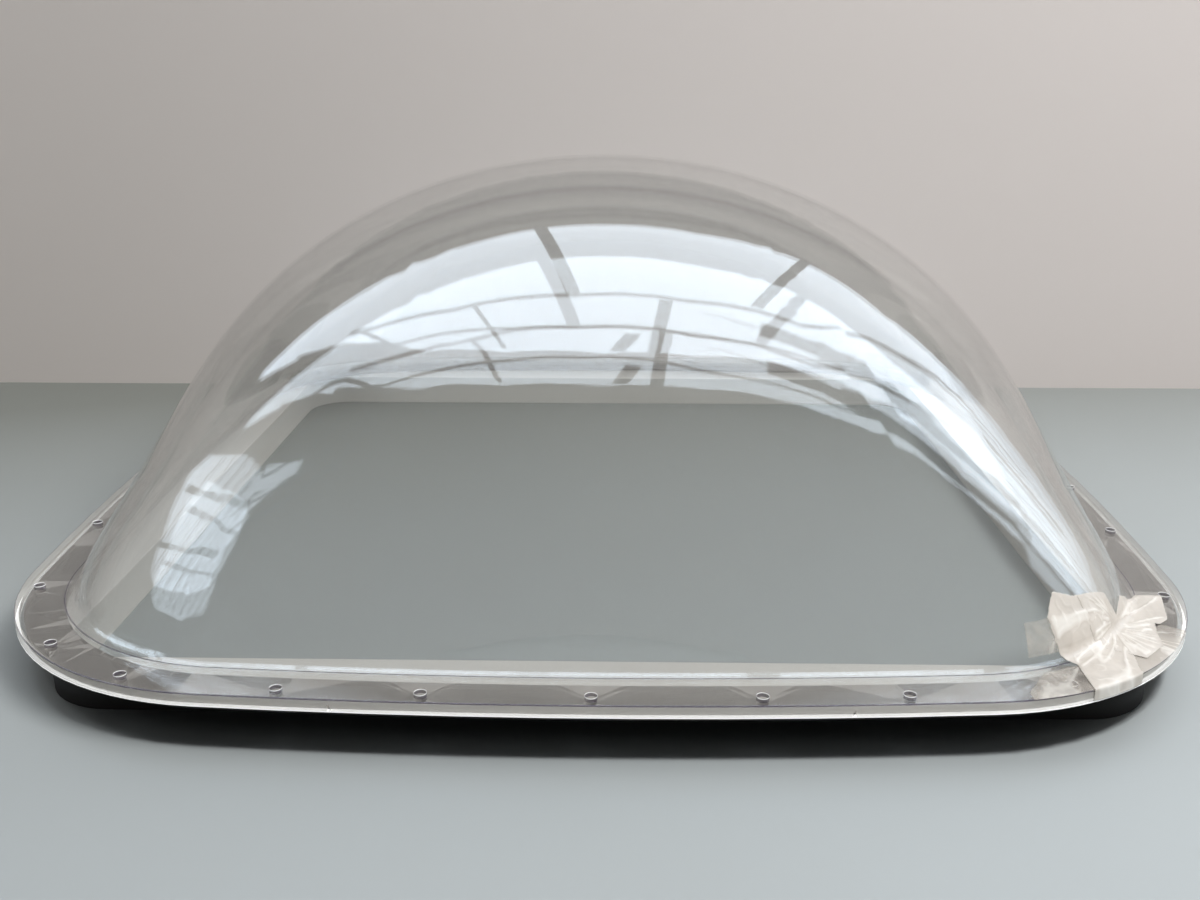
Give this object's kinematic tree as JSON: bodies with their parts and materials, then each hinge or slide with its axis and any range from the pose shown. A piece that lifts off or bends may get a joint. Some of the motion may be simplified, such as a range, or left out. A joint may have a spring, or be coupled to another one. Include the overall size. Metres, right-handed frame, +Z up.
{
  "type": "roof skylight",
  "caption": "Square roof skylight: a clear double-skin blown dome with a drilled flat rim on a foam seal and a low kerb frame, with strips of tape over one corner.",
  "frame": {"origin": "middle of the kerb opening, level with the kerb frame's foot", "axes": "+Z up through the dome's crown, -Y towards the picture's viewer (front), +X to the viewer's right"},
  "size_m": [1.1996, 1.1996, 0.4518],
  "materials": {
    "outer_acrylic": "clear gloss",
    "inner_acrylic": "clear gloss",
    "kerb": "satin",
    "seal": "matte foam",
    "tape": "satin, wrinkled",
    "clear_tape": "gloss, wrinkled"
  },
  "bodies": {
    "root": {"kerb_frame": "kerb", "flange_seal": "seal", "inner_dome": "inner_acrylic", "outer_dome": "outer_acrylic", "tape_flange_film": "clear_tape", "tape_wall_film": "clear_tape", "tape_rim_strip": "tape", "tape_side_strip": "tape"}
  },
  "joints": []
}
